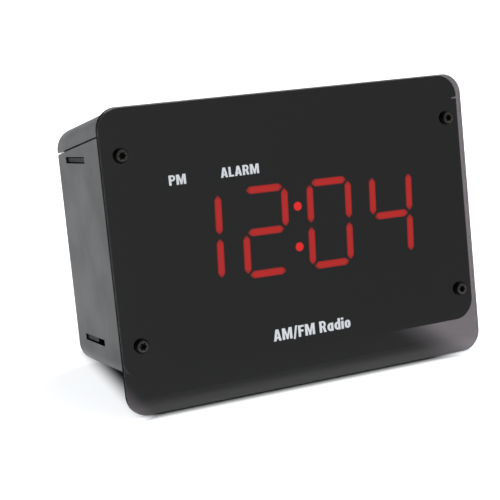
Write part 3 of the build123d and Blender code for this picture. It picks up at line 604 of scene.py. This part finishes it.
# ---- settings -----------------------------------------------------------------------------------------------
class StudioSettings(bpy.types.PropertyGroup):
    """Camera and light."""
    eye: bpy.props.FloatVectorProperty(
        name="Eye", description="Where the camera stands", default=(-0.31011, -0.60604, 0.28914),
        subtype="TRANSLATION", unit="LENGTH")
    aim: bpy.props.FloatVectorProperty(
        name="Aim", description="The point the camera looks at", default=(-0.03022, -0.03466, 0.07221),
        subtype="TRANSLATION", unit="LENGTH")
    roll: bpy.props.FloatProperty(
        name="Roll", description="Turn of the camera about its own line of sight", default=math.radians(0.177),
        subtype="ANGLE")
    lens: bpy.props.FloatProperty(name="Lens", description="Focal length in millimetres", default=95.7)
    floor_colour: bpy.props.FloatVectorProperty(
        name="Floor", description="Colour of the floor", default=linear("#f8f8f8")[:3], subtype="COLOR")
    floor_glow: bpy.props.FloatProperty(
        name="Floor glow", description="Light that the back-lit floor gives off", default=0.88)
    # the dark mask under the radio is a painted shadow on the floor
    shadow_mask_shift: bpy.props.FloatProperty(
        name="Mask shift", description="How far forward the dark mask under the radio lies", default=0.008,
        unit="LENGTH")
    floor_radius: bpy.props.FloatProperty(
        name="Floor radius", description="How far the floor runs", default=6.0, unit="LENGTH")
    low_sky: bpy.props.FloatProperty(
        name="Low walls", description="Brightness of the studio's white walls near the floor", default=1.0)
    high_sky: bpy.props.FloatProperty(
        name="High walls", description="Brightness of the studio higher up", default=0.12)
    front_sky: bpy.props.FloatProperty(
        name="Front", description="Brightness of the open side in front of the radio", default=0.6)
    lamp_power: bpy.props.FloatProperty(
        name="Lamp", description="Power of the overhead lamp", default=14.0, unit="POWER")


class RadioSettings(bpy.types.PropertyGroup):
    """The radio's own pieces."""
    caption: bpy.props.StringProperty(
        name="Caption", description="Words below the display", default="AM/FM Radio")
    caption_height: bpy.props.FloatProperty(
        name="Caption height", description="Height of the caption's capitals", default=6.0 * MM, unit="LENGTH")
    word_height: bpy.props.FloatProperty(
        name="Word height", description="Height of the indicator words", default=5.0 * MM, unit="LENGTH")
    legend_height: bpy.props.FloatProperty(
        name="Legend height", description="Height of the small printing on the case", default=2.3 * MM,
        unit="LENGTH")
    ink_colour: bpy.props.FloatVectorProperty(
        name="Sheet ink", description="Colour of the words on the front sheet", default=linear("#e9ebf0")[:3],
        subtype="COLOR")
    legend_colour: bpy.props.FloatVectorProperty(
        name="Case ink", description="Colour of the small printing on the case", default=linear("#b9bcc2")[:3],
        subtype="COLOR")
    case_colour: bpy.props.FloatVectorProperty(
        name="Case", description="Colour of the case's plastic", default=linear("#17171a")[:3], subtype="COLOR")
    smoke_colour: bpy.props.FloatVectorProperty(
        name="Smoke", description="Share of red, green and blue light that comes through the front sheet",
        default=(0.108, 0.095, 0.103), subtype="COLOR")
    lit_colour: bpy.props.FloatVectorProperty(
        name="Digits", description="Colour of the lit digits", default=linear("#ff241c")[:3], subtype="COLOR")
    segment_width: bpy.props.FloatProperty(
        name="Segment width", description="Width of a lit segment", default=4.0 * MM, unit="LENGTH")
    screw_head: bpy.props.FloatProperty(
        name="Screw head", description="Radius of a front screw's head", default=3.8 * MM, unit="LENGTH")
    dome: bpy.props.FloatProperty(
        name="Dome", description="Rise of a lit segment's lens over its edge", default=0.12 * MM, unit="LENGTH")


# ---- operators ------------------------------------------------------------------------------------------------
class RADIO_OT_finishes(bpy.types.Operator):
    """Give every CAD node the material of its slot"""
    bl_idname = "radio.finishes"
    bl_label = "Finishes"

    def execute(self, context):
        made = finishes(context.scene.radio)
        slots = {row["node"]: row["material_slot"] for row in frame["record"]["subparts"]}
        for name, node in NODES.items():
            for held in node.material_slots:
                held.material = made[slots[name]]
        return {"FINISHED"}


class RADIO_OT_sheet(bpy.types.Operator):
    """Replace the front sheet by a polished one with a dark band round its edge"""
    bl_idname = "radio.sheet"
    bl_label = "Front sheet"

    def execute(self, context):
        for piece in (front_sheet(bpy.data.materials["smoked_cast_acrylic"]), edge_band(sawn_edge())):
            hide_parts("front_panel")
        return {"FINISHED"}


class RADIO_OT_screws(bpy.types.Operator):
    """Replace the four front screws by threaded ones with a six-lobed recess"""
    bl_idname = "radio.screws"
    bl_label = "Front screws"

    def execute(self, context):
        parts = []
        for x, z in SCREWS:
            points, faces, wear_and_highlight = self.screw(context.scene.radio.screw_head / MM)
            parts.append((points + (x, 0, z), faces, wear_and_highlight))
        points, faces, wear_and_highlight = gather(parts)
        piece = make_piece("torx_screws", stand(points), faces, oxide_steel(),
                           values={"wear_and_highlight": wear_and_highlight})
        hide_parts("panel_screws")
        return {"FINISHED"}

    def screw(self, rim, around=72, lobes=6):
        """One closed surface of revolution, (radius, depth) stations from the recess floor out over the
        crown, down the flank and along the threaded shank. The recess radius swings with the cosine of six
        times the angle, and the shank radius with a triangle wave of depth over pitch less turn."""
        angle = np.linspace(0, 2 * np.pi, around, endpoint=False)
        flat = 0 * angle
        recess = RECESS_R + RECESS_LOBE * np.clip(1.3 * np.cos(lobes * angle), -1, 1)
        # each station's third number is its rubbing-and-highlight value: the recess floor stays black oxide, and
        # the lighter rim (0.75) is a painted highlight
        mouth = ((0.35, RECESS_FLOOR, 0.0), (0.98, RECESS_FLOOR, 0.0), (1.0, RECESS_FLOOR - 0.05, 0.05),
                 (1.0, -2.2, 0.3), (1.06, -2.36, 0.75), (1.12, SCREW_TOP, 0.4))
        stations = [(recess * r, flat + y, w) for r, y, w in mouth]
        turn = np.linspace(90, 8, 9)
        crown_r = rim - CROWN_R + CROWN_R * np.cos(np.radians(turn))
        crown_y = SCREW_TOP + CROWN_RISE - CROWN_RISE * np.sin(np.radians(turn))
        # the crown's flat is lighter: partly rubbed by handling, partly a painted highlight
        crown_wear_and_highlight = CROWN_WEAR_AND_HIGHLIGHT * np.clip((turn - 58) / 26, 0.0, 1.0)
        stations += [(flat + r, flat + y, w) for r, y, w in zip(crown_r, crown_y, crown_wear_and_highlight)]
        collar = ((rim, -0.3), (rim, -0.06), (rim - 0.1, 0), (SHANK_R, 0))
        stations += [(flat + r, flat + y, FLANK_WEAR) for r, y in collar]
        for y in np.arange(0.15, SCREW_END - 0.4, THREAD_PITCH / 6):
            phase = (y / THREAD_PITCH - angle / (2 * np.pi)) % 1
            stations.append((SHANK_R - THREAD_DEPTH * (1 - np.abs(2 * phase - 1)), flat + y, THREAD_WEAR))
        tip = ((1.7, SCREW_END - 0.3), (1.3, SCREW_END), (0.3, SCREW_END))
        stations += [(flat + r, flat + y, THREAD_WEAR) for r, y in tip]
        radius, y = np.array([s[0] for s in stations]), np.array([s[1] for s in stations])
        points = np.stack((radius * np.cos(angle), y, radius * np.sin(angle)), -1)
        faces = [list(face)[::-1] for face in grid_faces(len(stations), around)]
        count = len(stations) * around
        faces += [list(range(around)), list(range(count - around, count))[::-1]]
        wear_and_highlight = np.repeat([s[2] for s in stations], around)
        return points.reshape(-1, 3), faces, wear_and_highlight


class RADIO_OT_digits(bpy.types.Operator):
    """Replace the lit segments and the colon by domed lenses that glow along their middles"""
    bl_idname = "radio.digits"
    bl_label = "Lit digits"

    def execute(self, context):
        settings = context.scene.radio
        dome, width = settings.dome / MM, settings.segment_width / MM
        lit = bpy.data.materials["lit_red_epoxy"]
        bars = []
        for n, names in enumerate(TIME):
            for name in names:
                bars.append(self.bar((n - 1.5) * DIGIT_PITCH, name, dome, width))
        points, faces, glow = gather(bars)
        piece = make_piece("segment_lenses", stand(self.in_row(points)), faces, lit,
                           values={"glow": glow})
        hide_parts("lit_segments")
        dots = gather([self.dot(level, dome) for level in (-1, 1)])
        piece = make_piece("colon_lenses", stand(self.in_row(dots[0])), dots[1],
                           lit_epoxy("lit_red_epoxy_dot", settings.lit_colour, COLON_LIGHT),
                           values={"glow": dots[2]})
        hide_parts("colon_dots")
        return {"FINISHED"}

    def in_row(self, points):
        """Turn points about the row's centre, in the plane of the sheet."""
        x, y, z = points.T
        c, s = math.cos(TURN), math.sin(TURN)
        return np.stack((x * c - z * s, y, x * s + z * c + DISPLAY_Z), -1)

    def lens(self, along, across, inside, dome):
        """Stack a lens from its outline (along, across): back rim, front rim, and shrunken loops that rise
        by dome times one less the square of their size. Glow is 1 over the middle and falls to the rim."""
        scale = np.array((1.0, 1.0, 0.86, 0.66, 0.44, 0.22, 0.04))
        depth = np.array((SEGMENT_BACK, dome, *(dome * scale[2:] ** 2)))
        loops = []
        for size, y in zip(scale, depth):
            loops.append(np.stack(
                (along * (1 - (1 - size) * inside), 0 * along + DISPLAY_Y + y, across * size), -1))
        glow = np.repeat((0.0, 0.12, 0.62, 0.86, 0.96, 1.0, 1.0), len(along))
        count = len(along)
        faces = [list(face) for face in grid_faces(len(scale), count)]
        faces += [list(range(count))[::-1], list(range((len(scale) - 1) * count, len(scale) * count))]
        return np.array(loops).reshape(-1, 3), faces, glow

    def bar(self, centre, name, dome, width):
        """One segment: straight sides drawn in to a blunt nose by a power of the distance from its end, with
        the loops inside it shortened less than they are narrowed."""
        level = {"a": 1, "g": 0, "d": -1, "f": 1, "b": 1, "e": -1, "c": -1}[name]
        flat = name in "agd"
        half, edge = (LEVEL if flat else UPRIGHT[1] - UPRIGHT[0]) / 2, width / 2
        t = np.linspace(-1, 1, 33)
        t = np.sign(t) * np.abs(t) ** 0.6
        reach = np.clip((half * (1 - np.abs(t))) / NOSE, 0, 1)
        side = edge * (NOSE_TIP + (1 - NOSE_TIP) * reach ** 0.85)
        along = np.concatenate((t * half, (t * half)[::-1]))
        across = np.concatenate((-side, side[::-1]))
        points, faces, glow = self.lens(along, across, edge / half, dome)
        fade = np.clip((half - np.abs(points[:, 0])) / FADE, 0, 1)
        glow = glow * (END_GLOW + (1 - END_GLOW) * fade)
        if not flat:
            lean = math.pi / 2 - SLANT
            x, y, z = points.T
            c, s = math.cos(lean), math.sin(lean)
            points = np.stack((x * c - z * s, y, x * s + z * c), -1)
        z = level * (DIGIT_HALF_H if flat else sum(UPRIGHT) / 2)
        side_x = {"f": -1, "e": -1, "b": 1, "c": 1}.get(name, 0) * DIGIT_HALF_W
        return points + (centre + side_x + z * math.tan(SLANT), 0, z), faces, glow

    def dot(self, level, dome):
        """One colon dot: a circle shrunk towards its centre."""
        angle = np.linspace(0, 2 * np.pi, 40, endpoint=False)
        points, faces, glow = self.lens(COLON_R * np.cos(angle), COLON_R * np.sin(angle), 1.0, dome)
        z = level * COLON_Z
        return points + (z * math.tan(SLANT), 0, z), faces, np.clip(glow + 0.25, 0, 1)


class RADIO_OT_print(bpy.types.Operator):
    """Print the indicator words and the caption on the front sheet"""
    bl_idname = "radio.print_words"
    bl_label = "Printed words"

    def execute(self, context):
        settings = context.scene.radio
        white = ink("screen_printed_white_ink", settings.ink_colour)
        tall = settings.word_height / MM
        for name, text, left, right, base in INDICATORS:
            words(name, text, left, right, base, tall, white)
        words("caption_words", settings.caption, *CAPTION, settings.caption_height / MM, white)
        return {"FINISHED"}


class RADIO_OT_legends(bpy.types.Operator):
    """Print the small words by the buttons, the switches, the dials and the inlet"""
    bl_idname = "radio.legends"
    bl_label = "Small printing"

    def execute(self, context):
        settings = context.scene.radio
        grey = ink("pad_printed_grey_ink", settings.legend_colour, 0.55)
        tall = settings.legend_height / MM
        for text, across, back in COVER_LEGENDS:
            at = np.array((across, back - tall, LIFT))
            legend(text.lower() + "_legend", text, tall, lambda p, at=at: on_cover(p + at), grey)
        for name, text, across, up in REAR_LEGENDS:
            at = np.array((across, REAR_FACE + LIFT, up))
            legend(name, text, tall, lambda p, at=at: p[:, (0, 2, 1)] * (-1, 1, 1) + at, grey)
        for name, text, back, up in WALL_LEGENDS:
            at = np.array((WALL_FACE + LIFT, back, up))
            legend(name, text, tall, lambda p, at=at: p[:, (2, 0, 1)] + at, grey)
        return {"FINISHED"}


class RADIO_OT_stage(bpy.types.Operator):
    """Set the pale floor, the soft light and the camera"""
    bl_idname = "radio.stage"
    bl_label = "Stage"

    def execute(self, context):
        settings = context.scene.radio_studio
        self.floor(settings)
        self.sky(context.scene, settings)
        self.lamps(context.scene, settings)
        self.camera(context.scene, settings)
        context.scene.view_settings.view_transform = "Standard"
        return {"FINISHED"}

    def floor(self, settings):
        """A flat disc: points on a circle of the floor's radius. Translucent white acrylic lit from below, so
        that shadows on it stay faint, with a painted shadow under the radio: there its glow is masked off and its
        colour darkened."""
        angle = np.linspace(0, 2 * np.pi, 96, endpoint=False)
        points = np.stack((np.cos(angle), np.sin(angle), 0 * angle), -1) * settings.floor_radius
        mesh = bpy.data.meshes.new("floor")
        mesh.from_pydata(points.tolist(), [], [list(range(len(angle)))])
        floor = bpy.data.objects.new("floor", mesh)
        bpy.context.scene.collection.objects.link(floor)
        material, tree, output = new_material("back_lit_white_acrylic_with_painted_shadow")
        place = add(tree, "ShaderNodeTexCoord").outputs["Object"]
        moved = add(tree, "ShaderNodeVectorMath", {1: (0, settings.shadow_mask_shift, 0)}, {0: place}, operation="ADD")
        scaled = add(tree, "ShaderNodeVectorMath", {1: [1 / side for side in CAD_BOX[1][:2]] + [0]},
                     {0: moved.outputs["Vector"]}, operation="MULTIPLY")
        sides = add(tree, "ShaderNodeSeparateXYZ", links={"Vector": scaled.outputs["Vector"]}).outputs
        left = add(tree, "ShaderNodeMath", {1: -1.0}, {0: sides["X"]}, operation="MULTIPLY").outputs["Value"]
        right = add(tree, "ShaderNodeMath", dict(enumerate(SHADOW_MASK_RIGHT, 1)), {0: sides["X"]},
                    operation="MULTIPLY_ADD").outputs["Value"]
        wide = add(tree, "ShaderNodeMath", links={0: left, 1: right}, operation="MAXIMUM").outputs["Value"]
        deep = add(tree, "ShaderNodeMath", links={0: sides["Y"]}, operation="ABSOLUTE").outputs["Value"]
        far = add(tree, "ShaderNodeMath", links={0: wide, 1: deep}, operation="MAXIMUM")
        # 0 under the radio and 1 away from it: the mask of the painted shadow
        clear = add(tree, "ShaderNodeMapRange", {"From Min": SHADOW_MASK[0], "From Max": SHADOW_MASK[1]},
                    {"Value": far.outputs["Value"]}, interpolation_type="SMOOTHSTEP").outputs["Result"]
        back = add(tree, "ShaderNodeSeparateXYZ", links={"Vector": place}).outputs["Y"]
        power = add(tree, "ShaderNodeMapRange", {
            "From Min": FLOOR_FRONT[0], "From Max": FLOOR_FRONT[1],
            "To Min": FRONT_SHARE * settings.floor_glow, "To Max": settings.floor_glow},
            {"Value": back}).outputs["Result"]
        # the floor's glow is masked off under the radio: painted shadow
        glow = add(tree, "ShaderNodeMath", links={0: clear, 1: power}, operation="MULTIPLY")
        # the floor's colour darkens under the radio to a share of itself: painted shadow
        shade = add(tree, "ShaderNodeValToRGB", links={"Fac": clear}, stops=(
            (0.0, times(settings.floor_colour, SHADOW_MASK_SHADE)), (1.0, times(settings.floor_colour, 1.0))))
        shader = add(tree, "ShaderNodeBsdfPrincipled", {"Roughness": 0.9, "Emission Color": (0.96, 0.98, 1, 1)}, {
            "Base Color": shade.outputs["Color"], "Emission Strength": glow.outputs["Value"]})
        tree.links.new(shader.outputs["BSDF"], output.inputs["Surface"])
        mesh.materials.append(material)

    def sky(self, scene, settings):
        """White walls near the floor, greyer above, and a darker open side towards the front right."""
        world = bpy.data.worlds.new("studio")
        scene.world = world
        world.use_nodes = True
        tree = world.node_tree
        tree.nodes.clear()
        place = add(tree, "ShaderNodeTexCoord").outputs["Generated"]
        height = add(tree, "ShaderNodeSeparateXYZ", links={"Vector": place}).outputs["Z"]
        wall = add(tree, "ShaderNodeMapRange", {
            "From Min": HORIZON[0], "From Max": HORIZON[1],
            "To Min": settings.low_sky, "To Max": settings.high_sky},
            {"Value": height}, interpolation_type="SMOOTHSTEP").outputs["Result"]
        front = add(tree, "ShaderNodeVectorMath", {1: OPEN_WAY}, {0: place}, operation="DOT_PRODUCT")
        share = add(tree, "ShaderNodeMapRange", {"From Min": OPEN_SPREAD[0], "From Max": OPEN_SPREAD[1]},
                    {"Value": front.outputs["Value"]}, interpolation_type="SMOOTHSTEP").outputs["Result"]
        open_side = add(tree, "ShaderNodeMapRange", {
            "From Min": OPEN_MIDDLE[0], "From Max": OPEN_MIDDLE[1],
            "To Min": OPEN_EDGE_SHARE * settings.front_sky, "To Max": OPEN_MIDDLE_SHARE * settings.front_sky},
            {"Value": front.outputs["Value"]}).outputs["Result"]
        lift = add(tree, "ShaderNodeMapRange", {"From Min": OPEN_LIFT[0], "From Max": OPEN_LIFT[1]},
                   {"Value": height}, interpolation_type="SMOOTHSTEP").outputs["Result"]
        opening = add(tree, "ShaderNodeMix", {"A": OPEN_FOOT},
                      {"Factor": lift, "B": open_side}).outputs["Result"]
        strength = add(tree, "ShaderNodeMix", links={"Factor": share, "A": wall, "B": opening})
        light = add(tree, "ShaderNodeBackground", {"Color": (0.97, 0.985, 1.0, 1)},
                    {"Strength": strength.outputs["Result"]})
        output = tree.nodes.new("ShaderNodeOutputWorld")
        tree.links.new(light.outputs["Background"], output.inputs["Surface"])

    def lamps(self, scene, settings):
        """One broad soft lamp high up behind and to the right."""
        lamp = bpy.data.lights.new("overhead", "AREA")
        lamp.energy = settings.lamp_power
        lamp.size = LAMP_SIZE
        lamp.shape = "DISK"
        holder = bpy.data.objects.new("overhead", lamp)
        holder.location = LAMP_PLACE
        holder.rotation_euler = look(-np.array(holder.location))
        scene.collection.objects.link(holder)

    def camera(self, scene, settings):
        camera = bpy.data.cameras.new("camera")
        camera.lens = settings.lens
        camera.sensor_width = 36
        camera.clip_start = 0.01
        holder = bpy.data.objects.new("camera", camera)
        holder.location = settings.eye
        turn = Euler(look(np.array(settings.aim) - np.array(settings.eye))).to_matrix()
        holder.rotation_euler = (turn @ Matrix.Rotation(settings.roll, 3, "Z")).to_euler()
        scene.collection.objects.link(holder)
        scene.camera = holder


def look(direction):
    """Turns for a camera or lamp, which looks along its own -Z, to look along a direction with +Z up."""
    x, y, z = direction / np.linalg.norm(direction)
    return math.acos(-z), 0.0, math.atan2(-x, y)


class RADIO_PT_panel(bpy.types.Panel):
    """The radio's pieces"""
    bl_idname = "RADIO_PT_panel"
    bl_label = "Clock radio"
    bl_space_type = "VIEW_3D"
    bl_region_type = "UI"
    bl_category = "Clock radio"

    def draw(self, context):
        for group in (context.scene.radio, context.scene.radio_studio):
            for key in group.__annotations__:
                self.layout.prop(group, key)
        for operator in OPERATORS:
            self.layout.operator(operator.bl_idname)


OPERATORS = (RADIO_OT_finishes, RADIO_OT_sheet, RADIO_OT_screws, RADIO_OT_digits, RADIO_OT_print,
             RADIO_OT_legends, RADIO_OT_stage)
CLASSES = (StudioSettings, RadioSettings, *OPERATORS, RADIO_PT_panel)


def register():
    for each in CLASSES:
        bpy.utils.register_class(each)
    bpy.types.Scene.radio_studio = bpy.props.PointerProperty(type=StudioSettings)
    bpy.types.Scene.radio = bpy.props.PointerProperty(type=RadioSettings)


def unregister():
    del bpy.types.Scene.radio_studio
    del bpy.types.Scene.radio
    for each in reversed(CLASSES):
        bpy.utils.unregister_class(each)


def main():
    register()
    for operator in OPERATORS:
        group, name = operator.bl_idname.split(".")
        getattr(getattr(bpy.ops, group), name)()


if __name__ == "__main__":
    main()
